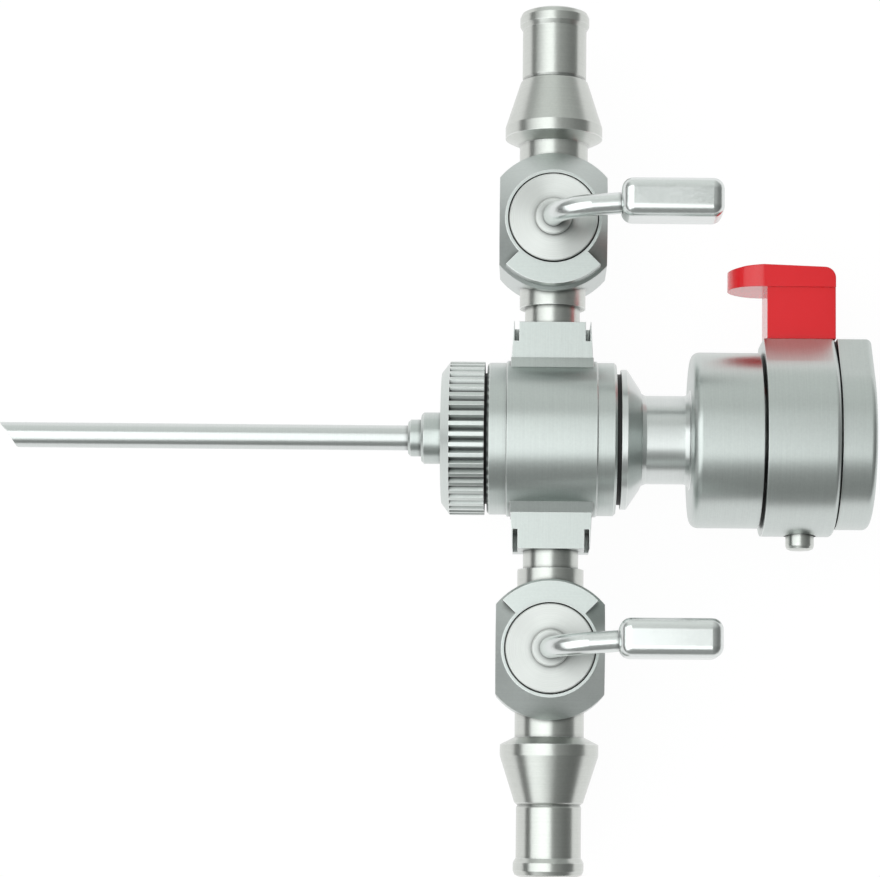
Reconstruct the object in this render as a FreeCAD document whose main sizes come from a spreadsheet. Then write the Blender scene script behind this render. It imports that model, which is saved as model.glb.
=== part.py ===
import FreeCAD, Part

import math
import os

import Sketcher
from FreeCAD import Vector

# Arthroscope sheath with two stopcocks on a turning irrigation drum and a push-button telescope lock.
# Millimetres. X runs along the sheath, its tip at the negative end. Y points to the upper stopcock
# and the button. Z points up from the table that the sheath lies on. The origin is on the
# telescope channel's axis, where the axis of the two stopcocks crosses it.

# Driving dimensions: alias, value, meaning.
SIZES = (
    ("running_gap", 0.05, "radial clearance of every turning or sliding fit"),
    ("face_gap", 0.3, "clearance between flat faces that slide past each other"),
    ("tube_outer_rad", 1.9, "outside radius of the sheath tube"),
    ("channel_rad", 1.65, "inside radius of the sheath tube"),
    ("tube_root_rad", 2.3, "thicker root of the tube inside the ferrule and the core"),
    ("tip_x", -83.8, "long point of the bevelled tip"),
    ("bevel_len", 2.9, "length of the bevel along the tube"),
    ("bevel_bow", 0.25, "how far the bevel is hollowed"),
    ("bevel_middle_y", 0.19, "height of the hollow's deepest place"),
    ("port_rad", 0.6, "irrigation holes through the tube and the core"),
    ("hub_front_x", -21.7, "front of the tube ferrule"),
    ("hub_small_rad", 2.8, "front step of the ferrule"),
    ("hub_small_len", 2.0, "length of the front step"),
    ("hub_large_rad", 3.9, "large step of the ferrule"),
    ("hub_plug_rad", 3.2, "rear end of the ferrule, inside the core"),
    ("hub_plug_len", 3.5, "length of that end"),
    ("hub_edge", 0.4, "chamfer of the ferrule's steps"),
    ("nut_front_x", -16.6, "front face of the fluted nut"),
    ("nut_len", 6.5, "length of the fluted nut"),
    ("nut_rad", 11.6, "outside radius of the fluted nut"),
    ("nut_wall", 1.6, "front wall of the nut"),
    ("nut_chamfer_len", 1.3, "front chamfer along the axis"),
    ("nut_chamfer_rad", 1.7, "front chamfer across the axis"),
    ("flute_start", 1.3, "plain collar in front of the flutes"),
    ("flute_lobe_rad", 0.77, "radius of each rib between two flutes"),
    ("flute_mouth", 0.55, "half width of a flute at its shoulder, as a share of the rib spacing"),
    ("flute_shoulder", 0.88, "height of that shoulder on the rib, as a share of the rib's radius"),
    ("flutes", 46, "number of flutes"),
    ("thread_rad", 5.6, "thread of the nut on the core"),
    ("washer_rad", 9.9, "outside radius of the two sliding washers"),
    ("nut_washer_thick", 0.36, "polymer washer between nut and drum"),
    ("drum_half", 9.7, "half the length of the drum"),
    ("drum_band_half", 6.7, "half the length of the raised middle band"),
    ("drum_front_rad", 11.5, "front ring of the drum"),
    ("drum_band_rad", 11.8, "middle band of the drum"),
    ("drum_rear_rad", 11.6, "rear ring of the drum"),
    ("drum_edge", 0.35, "chamfer of the drum's ends"),
    ("journal_rad", 6.5, "bearing surface of the core inside the drum"),
    ("chamber_rad", 8.4, "irrigation chamber inside the drum"),
    ("chamber_half", 2.6, "half the length of that chamber"),
    ("seal_x", 5.6, "distance of the two O-rings from the middle"),
    ("seal_wire", 0.6, "section radius of the O-rings"),
    ("boss_root_half", 6.2, "half width of a port boss at the drum"),
    ("boss_end_half", 5.8, "half width of a port boss at its outer end"),
    ("boss_depth_half", 5.3, "half depth of a port boss"),
    ("boss_end_y", 17.1, "outer end of a port boss"),
    ("boss_step_len", 2.9, "stepped end of the boss"),
    ("boss_step_half", 5.0, "half width of the boss beside the side slots"),
    ("boss_slot", 0.7, "width of the side slots"),
    ("boss_foot_y", 11.7, "where the boss's flat face turns into its foot"),
    ("boss_foot_rise", 1.1, "how far the foot stands out at its inner end"),
    ("duct_rad", 1.75, "flow channel through boss, spigot and valve"),
    ("socket_rad", 3.2, "socket of the spigot in the boss"),
    ("socket_len", 4.4, "depth of that socket"),
    ("flange_front_x", 10.4, "front of the core's flange"),
    ("flange_rad", 10.6, "radius of the core's flange"),
    ("flange_thick", 0.9, "thickness of the flange's rim"),
    ("cone_len", 2.0, "cone behind the flange"),
    ("neck_rad", 6.7, "neck between flange and lock"),
    ("neck_fillet", 0.9, "hollow fillets at both ends of the neck"),
    ("core_spigot_rad", 5.0, "rear end of the core inside the lock housing"),
    ("core_spigot_len", 3.8, "length of that end"),
    ("housing_x", 20.9, "front face of the lock housing"),
    ("housing_len", 10.35, "length of the lock housing"),
    ("housing_rad", 13.3, "radius of the lock housing"),
    ("housing_round", 1.3, "front rounding of the housing"),
    ("seal_pocket_len", 2.6, "pocket of the telescope seal"),
    ("retainer_thick", 1.2, "ring that holds the telescope seal"),
    ("scope_seal_rad", 1.4, "hole of the telescope seal"),
    ("seal_flare", 1.6, "how much the seal's hole widens to its ends"),
    ("barrel_rad", 9.0, "barrel of the housing that the lock ring slides across"),
    ("scope_socket_rad", 6.0, "socket for the telescope's hub"),
    ("scope_nose_rad", 4.6, "narrow front of that socket, for the hub's nose"),
    ("scope_nose_len", 6.4, "length of the narrow front"),
    ("ring_front_gap", 0.5, "gap between housing and lock ring"),
    ("ring_len", 10.75, "length of the lock ring"),
    ("ring_rad", 14.5, "radius of the lock ring"),
    ("ring_top_y", 14.95, "flat top of the lock ring"),
    ("ring_top_half", 5.0, "half width of that flat top"),
    ("crown_round", 0.6, "rounded corners beside the flat top of ring and cap"),
    ("ring_edge", 0.7, "rounding of the ring's rear edge"),
    ("press_travel", 1.5, "stroke of the button"),
    ("cap_len", 5.15, "length of the rear cap"),
    ("cap_rad", 13.4, "radius of the rear cap"),
    ("cap_round", 0.9, "rounding of the cap's rear edge"),
    ("cap_lip", 1.9, "rear lip of the cap behind the barrel"),
    ("cap_mouth_rad", 6.3, "mouth of the cap"),
    ("cap_screws", 3, "number of screws that hold the cap"),
    ("cap_screw_turn", 30, "angle of the first cap screw, clear of index pin and latch slot"),
    ("screw_ring_rad", 7.6, "circle of the cap screws"),
    ("screw_head_rad", 1.1, "heads of the cap screws"),
    ("screw_rad", 0.6, "shanks of the cap and button screws"),
    ("screw_gap", 0.03, "radial clearance of the screws in their holes"),
    ("screw_len", 4.0, "shank length of the cap screws"),
    ("screw_recess", 1.2, "depth of the recess for a cap screw's head"),
    ("screw_slot_width", 0.3, "width of the slot in a screw head"),
    ("screw_slot_depth", 0.4, "depth of that slot"),
    ("button_screw_sink", 1.0, "how far the button screws are sunk in the ring's opening"),
    ("latch_x", 40.3, "front face of the latch plate"),
    ("latch_thick", 1.2, "thickness of the latch plate"),
    ("latch_rad", 12.6, "outer radius of the latch plate"),
    ("latch_top_y", -3.6, "upper edge of the latch plate's crescent"),
    ("latch_bite", 1.3, "how far the latch reaches into the socket at rest"),
    ("guide_x", 37.6, "guide pin's place along the lock"),
    ("guide_rad", 2.15, "radius of the guide pin"),
    ("guide_end_y", -16.6, "outer end of the guide pin"),
    ("guide_foot_y", -6.4, "inner end of the guide pin"),
    ("guide_round", 0.6, "rounding of the guide pin's outer end"),
    ("guide_gap", 0.3, "clearance round the guide pin in the ring"),
    ("spring_rad", 1.7, "middle radius of the release spring"),
    ("spring_wire_rad", 0.22, "wire of the release spring"),
    ("spring_turns", 4, "turns of the release spring"),
    ("spring_sink", 0.8, "how deep the spring is sunk in the barrel"),
    ("pocket_rad", 2.2, "spring pocket in the ring"),
    ("pocket_roof_y", 13.3, "roof of that pocket"),
    ("index_x", 44.4, "index pin's place along the lock"),
    ("index_rad", 0.6, "radius of the index pin"),
    ("index_reach", 0.8, "how far the index pin stands into the socket"),
    ("button_tip_x", 26.6, "front tip of the button's pad"),
    ("button_stem_x", 32.3, "front of the button's stem"),
    ("button_rear_x", 42.6, "rear of the button"),
    ("button_top_y", 26.2, "highest line of the pad"),
    ("button_shoulder_y", 26.05, "pad height halfway along its round nose"),
    ("button_rear_top_y", 25.8, "pad height at the rear"),
    ("button_tip_top_y", 25.7, "upper corner of the pad's tip"),
    ("button_tip_low_y", 22.9, "lower corner of the pad's tip"),
    ("button_under_y", 22.8, "underside of the pad at the stem"),
    ("button_half", 5.2, "half depth of the button's pad"),
    ("stem_half", 4.8, "half depth of the button's stem"),
    ("button_round", 1.7, "rounding of the pad's rear corner"),
    ("screw_front_x", 34.2, "front screw of the button"),
    ("screw_rear_x", 40.9, "rear screw of the button"),
    ("screw_top_y", 20.5, "how far the button screws reach"),
    ("valve_y", 32.2, "distance of each valve's axis from the sheath's axis"),
    ("spigot_neck_rad", 4.18, "neck between boss and collar"),
    ("collar_y", 19.9, "inner end of the collar"),
    ("collar_rad", 5.0, "collar below the valve"),
    ("valve_rad", 10.5, "radius of the valve body"),
    ("valve_flat", 8.1, "distance of the body's side flats from its axis"),
    ("valve_back_z", -6.5, "back face of the valve body"),
    ("valve_edge", 0.8, "chamfer round that face"),
    ("valve_shoulder_z", 6.2, "height of the body at its rim"),
    ("valve_face_z", 9.3, "height of the raised stop sector and inner rim"),
    ("valve_cone_rad", 7.25, "inner edge of the sloping face"),
    ("recess_rad", 6.8, "counterbore round the plug's disc"),
    ("recess_z", 8.0, "floor of that counterbore"),
    ("valve_bore_deep", 7.9, "how near to the valve axis the pipe sockets reach"),
    ("sector_rad", 10.0, "outer radius of the stop sector"),
    ("sector_half_angle", 45, "half of the stop sector's angle"),
    ("plug_top_rad", 5.0, "large end of the tapered plug"),
    ("plug_low_rad", 4.5, "small end of the tapered plug"),
    ("disc_rad", 6.6, "disc on top of the plug"),
    ("disc_face_z", 9.6, "front face of the disc"),
    ("disc_edge", 0.15, "chamfer of the disc's rim"),
    ("disc_gap", 0.15, "clearance under the disc"),
    ("root_rad", 2.75, "raised ring round the lever's root"),
    ("root_len", 0.7, "height of that ring"),
    ("root_edge", 0.2, "chamfer of that ring"),
    ("stud_rad", 2.0, "stud at the back of the plug"),
    ("stud_len", 3.9, "length of the stud"),
    ("stop_pin_rad", 0.35, "stop pin of the valve"),
    ("stop_pin_sink", 1.5, "how deep the stop pin sits in the body"),
    ("stop_ring_rad", 5.95, "distance of the stop pin from the valve axis"),
    ("stop_notch_depth", 0.75, "depth of the stop notch under the disc"),
    ("notch_margin", 9, "how far the notch runs on beyond the stop pin at both ends, in degrees"),
    ("lever_rad", 1.6, "lever rod"),
    ("lever_angle", 4.5, "how far the closed rods stand past square, in degrees"),
    ("lever_bend", 5.5, "bend radius of the lever rod"),
    ("lever_z", 16.0, "height of the lever's grip above the sheath's axis"),
    ("lever_sink", 3.0, "depth of the rod in the plug"),
    ("grip_start", 9.9, "start of the grip from the valve axis"),
    ("grip_len", 15.0, "length of the grip"),
    ("grip_tall", 5.8, "width of the grip across the lever"),
    ("grip_offset", 1.15, "distance of the grip's middle line from the valve's axis"),
    ("grip_deep", 8.4, "depth of the grip along the valve axis"),
    ("grip_round", 1.7, "rounding of the grip"),
    ("cup_rad", 4.4, "outside of the spring washer"),
    ("cup_len", 0.9, "height of the spring washer"),
    ("cup_rim", 0.4, "half width of its rim"),
    ("nut_back_rad", 4.6, "nut at the back of the valve"),
    ("nut_back_len", 2.6, "height of that nut"),
    ("nut_back_edge", 0.4, "chamfer of that nut"),
    ("barb_neck_rad", 5.2, "neck of the hose connector"),
    ("barb_flange_y", 45.1, "start of the connector's flange"),
    ("barb_flange_rad", 7.4, "radius of the flange"),
    ("barb_chamfer", 1.1, "height of the flange's lower chamfer"),
    ("barb_flange_len", 1.7, "straight rim of the flange"),
    ("barb_cone_y", 54.9, "end of the connector's cone"),
    ("barb_cone_rad", 5.15, "small end of the cone"),
    ("barb_rad", 4.88, "barrel that the hose sits on"),
    ("barb_groove", 0.35, "ring groove between cone and barrel"),
    ("barb_bead_y", 63.1, "start of the end bead"),
    ("barb_bead_rad", 5.3, "radius of the end bead"),
    ("barb_bead_rise", 0.7, "slope on the barrel side of the bead"),
    ("barb_bead_round", 0.9, "rounding of the bead's outer edge"),
    ("barb_end_y", 65.9, "open end of the connector"),
    ("barb_bore_rad", 3.2, "bore at the connector's open end"),
    ("barb_bore_y", 48.0, "where that bore narrows to the flow channel"),
)


class Size:
    """A dimension that is both a number and a formula on the sheet."""

    def __init__(self, formula, value):
        self.formula = formula
        self.value = value

    def join(self, sign, other, value):
        return Size(f"({self.formula} {sign} {other.formula})", value)

    def __add__(self, other):
        other = as_size(other)
        return self.join("+", other, self.value + other.value)

    def __sub__(self, other):
        other = as_size(other)
        return self.join("-", other, self.value - other.value)

    def __mul__(self, other):
        other = as_size(other)
        return self.join("*", other, self.value * other.value)

    def __truediv__(self, other):
        other = as_size(other)
        return self.join("/", other, self.value / other.value)

    def __radd__(self, other):
        return as_size(other) + self

    def __rsub__(self, other):
        return as_size(other) - self

    def __rmul__(self, other):
        return as_size(other) * self

    def __rtruediv__(self, other):
        return as_size(other) / self

    def __neg__(self):
        return as_size(0) - self


def as_size(number):
    if isinstance(number, Size):
        return number
    return Size(f"({number:.6f})", float(number))


def root(size):
    return Size(f"sqrt({size.formula})", math.sqrt(size.value))


def cosine(size):
    return Size(f"cos({size.formula} * 1 deg)", math.cos(math.radians(size.value)))


def sine(size):
    return Size(f"sin({size.formula} * 1 deg)", math.sin(math.radians(size.value)))


class Sheet:
    """The spreadsheet of driving dimensions, read as attributes."""

    def __init__(self, document):
        cells = document.addObject("Spreadsheet::Sheet", "dims")
        cells.Label = "dims"
        for row, (alias, value, meaning) in enumerate(SIZES, start=1):
            cells.set(f"A{row}", alias)
            cells.set(f"B{row}", str(value))
            cells.set(f"C{row}", meaning)
            cells.setAlias(f"B{row}", alias)
        document.recompute()
        self.cells = cells

    def __getattr__(self, alias):
        return Size(f"dims.{alias}", float(self.cells.get(alias)))


doc = FreeCAD.newDocument("arthroscope_sheath")
d = Sheet(doc)
pieces = []

FULL_TURN = 360
# Where the middle of a rounding lies, as a share of its radius from both of its flanks.
ROUND_MIDDLE = 0.3
# How far a cut runs on beyond the surface that it opens.
CUT_MARGIN = 1
screw_count = int(d.cap_screws.value)
SIDES = (("upper", 1), ("lower", -1))

# Places that several pieces share.
NUT_REAR = d.nut_front_x + d.nut_len
CORE_FRONT = d.nut_front_x + d.nut_wall + d.face_gap
CONE_FRONT = d.flange_front_x + d.flange_thick
NECK_FRONT = CONE_FRONT + d.cone_len
CORE_REAR = d.housing_x + d.core_spigot_len
SEAL_REAR = CORE_REAR + d.seal_pocket_len
NOSE_FRONT = SEAL_REAR + d.retainer_thick
NOSE_REAR = NOSE_FRONT + d.scope_nose_len
HOUSING_REAR = d.housing_x + d.housing_len
RING_FRONT = HOUSING_REAR + d.ring_front_gap
RING_REAR = RING_FRONT + d.ring_len
CAP_FRONT = RING_REAR + d.face_gap
CAP_REAR = CAP_FRONT + d.cap_len
BARREL_REAR = CAP_REAR - d.cap_lip
SLOT_RAD = d.barrel_rad + d.face_gap
SPRING_SEAT = d.barrel_rad - d.spring_sink
SEAL_GROOVE_RAD = d.journal_rad - 2 * d.seal_wire + d.running_gap
VALVE_SOCKET = d.valve_y - d.valve_bore_deep


def new_body(label, x=None, y=None, z=None):
    body = doc.addObject("PartDesign::Body", label)
    body.Label = label
    for axis, place in (("x", x), ("y", y), ("z", z)):
        if place is not None:
            body.setExpression(f"Placement.Base.{axis}", as_size(place).formula)
    pieces.append(body)
    return body


def sketch_on(body, role, name, offset=None):
    sketch = body.newObject("Sketcher::SketchObject", name)
    plane = next(item for item in body.Origin.OriginFeatures if item.Role == role)
    sketch.AttachmentSupport = (plane, [""])
    sketch.MapMode = "FlatFace"
    if offset is not None:
        sketch.setExpression("AttachmentOffset.Base.z", as_size(offset).formula)
    return sketch


def place_point(sketch, line, end, x, y):
    """Ties one end of a sketch line or arc to the sheet."""
    hold(sketch, "DistanceX", line, end, x)
    hold(sketch, "DistanceY", line, end, y)


def draw_outline(sketch, corners):
    """Closed outline of straight lines through the given corners."""
    corners = [(as_size(x), as_size(y)) for x, y in corners]
    first = sketch.GeometryCount
    count = len(corners)
    for index, (x, y) in enumerate(corners):
        next_x, next_y = corners[(index + 1) % count]
        start = Vector(x.value, y.value, 0)
        end = Vector(next_x.value, next_y.value, 0)
        sketch.addGeometry(Part.LineSegment(start, end), False)
    for index, (x, y) in enumerate(corners):
        following = first + (index + 1) % count
        sketch.addConstraint(Sketcher.Constraint("Coincident", first + index, 2, following, 1))
        place_point(sketch, first + index, 1, x, y)


def draw_circle(sketch, x, y, radius):
    x, y, radius = as_size(x), as_size(y), as_size(radius)
    centre = Vector(x.value, y.value, 0)
    circle = sketch.addGeometry(Part.Circle(centre, Vector(0, 0, 1), radius.value), False)
    place_point(sketch, circle, 3, x, y)
    index = sketch.addConstraint(Sketcher.Constraint("Radius", circle, radius.value))
    sketch.setExpression(f"Constraints[{index}]", radius.formula)


def draw_line(sketch, start, end):
    """Straight line that is still to be tied to the sheet or to its neighbours."""
    first = Vector(start[0].value, start[1].value, 0)
    last = Vector(end[0].value, end[1].value, 0)
    return sketch.addGeometry(Part.LineSegment(first, last), False)


def join_ends(sketch, chain, kind="Coincident"):
    """Joins ends of lines and arcs, given as (line, end, other line, its end)."""
    for line, end, other, start in chain:
        sketch.addConstraint(Sketcher.Constraint(kind, line, end, other, start))


def hold(sketch, kind, line, end, size):
    """Ties one coordinate of one end of a line to the sheet."""
    index = sketch.addConstraint(Sketcher.Constraint(kind, line, end, size.value))
    sketch.setExpression(f"Constraints[{index}]", size.formula)


def draw_arc(sketch, centre, radius, start, end):
    """Arc from start to end, counter-clockwise, its centre tied to the sheet."""
    centre = [as_size(value) for value in centre]
    start = [as_size(value) for value in start]
    end = [as_size(value) for value in end]
    middle = Vector(centre[0].value, centre[1].value, 0)
    first_angle = math.atan2(start[1].value - middle.y, start[0].value - middle.x)
    last_angle = math.atan2(end[1].value - middle.y, end[0].value - middle.x)
    circle = Part.Circle(middle, Vector(0, 0, 1), as_size(radius).value)
    arc = sketch.addGeometry(Part.ArcOfCircle(circle, first_angle, last_angle), False)
    place_point(sketch, arc, 3, *centre)
    return arc


def draw_profile(body, name, axis, corners):
    """Half section of a turned shape, with the sketch's name for its axis."""
    if axis == "X":
        sketch = sketch_on(body, "XY_Plane", name + "_profile")
        draw_outline(sketch, corners)
        return sketch, "H_Axis"
    plane = "XY_Plane" if axis == "Y" else "XZ_Plane"
    sketch = sketch_on(body, plane, name + "_profile")
    draw_outline(sketch, [(radius, along) for along, radius in corners])
    return sketch, "V_Axis"


def turn(body, name, axis, corners):
    """Solid of revolution. Each corner is (place along the axis, radius)."""
    sketch, reference = draw_profile(body, name, axis, corners)
    revolution = body.newObject("PartDesign::Revolution", name)
    revolution.Profile = sketch
    revolution.ReferenceAxis = (sketch, [reference])
    revolution.Angle = FULL_TURN
    doc.recompute()
    return revolution


def groove(body, name, axis, corners):
    """Ring-shaped cut about the axis. Each corner is (place along the axis, radius)."""
    before = body.Shape.Volume
    sketch, reference = draw_profile(body, name, axis, corners)
    cut = body.newObject("PartDesign::Groove", name)
    cut.Profile = sketch
    cut.ReferenceAxis = (sketch, [reference])
    cut.Angle = FULL_TURN
    doc.recompute()
    check_cut(body, name, before)
    return cut


def pad(body, name, sketch, length, symmetric=False, back=False):
    feature = body.newObject("PartDesign::Pad", name)
    feature.Profile = sketch
    feature.setExpression("Length", as_size(length).formula)
    if symmetric:
        feature.SideType = "Symmetric"
    feature.Reversed = back
    doc.recompute()
    return feature


def pocket(body, name, sketch, length=None, symmetric=False, back=False):
    """Cut along the sketch's normal: right through where no length is given."""
    before = body.Shape.Volume
    cut = body.newObject("PartDesign::Pocket", name)
    cut.Profile = sketch
    if symmetric:
        cut.SideType = "Symmetric"
    if length is None:
        cut.Type = "ThroughAll"
    else:
        cut.setExpression("Length", as_size(length).formula)
    cut.Reversed = back
    doc.recompute()
    check_cut(body, name, before)
    return cut


def check_cut(body, name, before):
    if not body.Shape.Volume < before - 1e-6:
        raise RuntimeError(f"{body.Label}: {name} removes nothing")


def drill(body, name, role, x, y, radius, start=0, toward=1, length=None, symmetric=False):
    """Round hole square to one of the body's planes, from start along or against its axis."""
    facing = -1 if role == "XZ_Plane" else 1
    sketch = sketch_on(body, role, name + "_circle", as_size(start) * facing)
    draw_circle(sketch, x, y, radius)
    return pocket(body, name, sketch, length, symmetric, back=toward * facing > 0)


def circular_edges(shape, places):
    """Names of the full or partial circles at (axis place, radius) pairs about the X axis."""
    names = []
    for number, edge in enumerate(shape.Edges, start=1):
        curve = edge.Curve
        if not isinstance(curve, Part.Circle):
            continue
        for centre, radius in places:
            near = (curve.Center - centre).Length < 1e-3
            if near and abs(curve.Radius - radius.value) < 1e-3:
                names.append(f"Edge{number}")
    return names


def flat_edges(shape, place):
    """Names of the edges that lie in the plane x = place."""
    names = []
    for number, edge in enumerate(shape.Edges, start=1):
        if all(abs(vertex.X - place.value) < 1e-3 for vertex in edge.Vertexes):
            names.append(f"Edge{number}")
    return names


def top_corner_edges(shape):
    """The two edges along X beside the flat top of a crowned plate."""
    names = []
    for number, edge in enumerate(shape.Edges, start=1):
        ends = [vertex.Point for vertex in edge.Vertexes]
        level = all(abs(end.y - d.ring_top_y.value) < 1e-3 for end in ends)
        if level and abs(ends[0].x - ends[-1].x) > 1e-3:
            names.append(f"Edge{number}")
    return names


def soften(body, name, kind, names, size):
    """Fillet or chamfer on the named edges of the body's last feature."""
    base = body.Tip
    feature = body.newObject("PartDesign::" + kind, name)
    feature.Base = (base, names)
    feature.setExpression("Radius" if kind == "Fillet" else "Size", as_size(size).formula)
    body.Tip = feature
    doc.recompute()
    return feature


def on_axis(x):
    return Vector(as_size(x).value, 0, 0)


def make_sheath_tube():
    body = new_body("sheath_tube")
    turn(body, "tube", "X", [
        (d.tip_x, d.channel_rad),
        (NECK_FRONT, d.channel_rad),
        (NECK_FRONT, d.tube_root_rad),
        (d.hub_front_x, d.tube_root_rad),
        (d.hub_front_x, d.tube_outer_rad),
        (d.tip_x, d.tube_outer_rad),
    ])
    heel = d.tip_x + d.bevel_len
    middle_x = (d.tip_x + heel) / 2 + d.bevel_bow
    front = d.tip_x - CUT_MARGIN
    sketch = sketch_on(body, "XY_Plane", "bevel_outline")
    draw_outline(sketch, [
        (d.tip_x, d.tube_outer_rad),
        (middle_x, d.bevel_middle_y),
        (heel, -d.tube_outer_rad),
        (heel, -2 * d.tube_outer_rad),
        (front, -2 * d.tube_outer_rad),
        (front, d.tube_outer_rad),
    ])
    pocket(body, "bevel", sketch, symmetric=True)
    drill(body, "ports", "XZ_Plane", 0, 0, d.port_rad, symmetric=True)


def make_tube_hub():
    body = new_body("tube_hub")
    large_x = d.hub_front_x + d.hub_small_len
    plug_rear = CORE_FRONT + d.hub_plug_len
    turn(body, "ferrule", "X", [
        (d.hub_front_x, d.tube_root_rad),
        (plug_rear, d.tube_root_rad),
        (plug_rear, d.hub_plug_rad),
        (CORE_FRONT, d.hub_plug_rad),
        (CORE_FRONT, d.hub_large_rad),
        (large_x + d.hub_edge, d.hub_large_rad),
        (large_x, d.hub_large_rad - d.hub_edge),
        (large_x, d.hub_small_rad),
        (d.hub_front_x + d.hub_edge, d.hub_small_rad),
        (d.hub_front_x, d.hub_small_rad - d.hub_edge),
    ])


def make_core_sleeve():
    body = new_body("core_sleeve")
    near = ROUND_MIDDLE * d.neck_fillet
    turn(body, "core", "X", [
        (CORE_FRONT, d.hub_plug_rad),
        (CORE_FRONT + d.hub_plug_len, d.hub_plug_rad),
        (CORE_FRONT + d.hub_plug_len, d.tube_root_rad),
        (NECK_FRONT, d.tube_root_rad),
        (NECK_FRONT, d.channel_rad),
        (CORE_REAR, d.channel_rad),
        (CORE_REAR, d.core_spigot_rad),
        (d.housing_x, d.core_spigot_rad),
        (d.housing_x, d.neck_rad + d.neck_fillet),
        (d.housing_x - near, d.neck_rad + near),
        (d.housing_x - d.neck_fillet, d.neck_rad),
        (NECK_FRONT + d.neck_fillet, d.neck_rad),
        (NECK_FRONT + near, d.neck_rad + near),
        (NECK_FRONT, d.neck_rad + d.neck_fillet),
        (CONE_FRONT, d.flange_rad),
        (d.flange_front_x, d.flange_rad),
        (d.flange_front_x, d.journal_rad),
        (NUT_REAR, d.journal_rad),
        (NUT_REAR, d.thread_rad - d.running_gap),
        (CORE_FRONT, d.thread_rad - d.running_gap),
    ])
    for name, place in (("front_seal_groove", -d.seal_x), ("rear_seal_groove", d.seal_x)):
        groove(body, name, "X", [
            (place - d.seal_wire, SEAL_GROOVE_RAD),
            (place + d.seal_wire, SEAL_GROOVE_RAD),
            (place + d.seal_wire, 2 * d.journal_rad),
            (place - d.seal_wire, 2 * d.journal_rad),
        ])
    drill(body, "ports", "XZ_Plane", 0, 0, d.port_rad, symmetric=True)


def make_drum_seal(label, place):
    """O-ring with an eight-sided section, in its groove of the core."""
    section = d.seal_wire - d.running_gap / 4
    middle = SEAL_GROOVE_RAD + d.seal_wire
    body = new_body(label)
    corners = []
    for number in range(8):
        angle = as_size(22.5 + 45 * number)
        corners.append((place + section * cosine(angle), middle + section * sine(angle)))
    turn(body, "ring", "X", corners)


def make_washer(label, front, thick, inner, outer):
    body = new_body(label)
    turn(body, "washer", "X", [
        (front, inner),
        (front + thick, inner),
        (front + thick, outer),
        (front, outer),
    ])


def make_fluted_nut():
    body = new_body("fluted_nut", x=d.nut_front_x)
    inner = d.thread_rad
    wall = d.nut_wall
    turn(body, "nut", "X", [
        (0, d.hub_large_rad + 2 * d.running_gap),
        (wall, d.hub_large_rad + 2 * d.running_gap),
        (wall, inner),
        (d.nut_len, inner),
        (d.nut_len, d.nut_rad),
        (d.nut_chamfer_len, d.nut_rad),
        (0, d.nut_rad - d.nut_chamfer_rad),
    ])
    # One flute: the space between two round ribs, out to beyond the rim.
    pitch_angle = FULL_TURN / d.flutes
    lobe_centre = d.nut_rad - d.flute_lobe_rad
    half_gap = lobe_centre * sine(pitch_angle / 2)
    rise = root(d.flute_lobe_rad * d.flute_lobe_rad - half_gap * half_gap)
    valley = lobe_centre * cosine(pitch_angle / 2) + rise
    mouth = half_gap * d.flute_mouth
    shoulder = lobe_centre * cosine(pitch_angle / 2) + d.flute_lobe_rad * d.flute_shoulder
    outside = d.nut_rad + d.face_gap
    sketch = sketch_on(body, "YZ_Plane", "flute_outline", d.flute_start)
    draw_outline(sketch, [
        (0, valley),
        (mouth, shoulder),
        (half_gap, outside),
        (-half_gap, outside),
        (-mouth, shoulder),
    ])
    cut = pocket(body, "flute", sketch, d.nut_len, back=True)
    pattern = body.newObject("PartDesign::PolarPattern", "flutes")
    pattern.Originals = [cut]
    axis = next(item for item in body.Origin.OriginFeatures if item.Role == "X_Axis")
    pattern.Axis = (axis, [""])
    pattern.Angle = FULL_TURN
    pattern.setExpression("Occurrences", d.flutes.formula)
    body.Tip = pattern
    doc.recompute()


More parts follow.
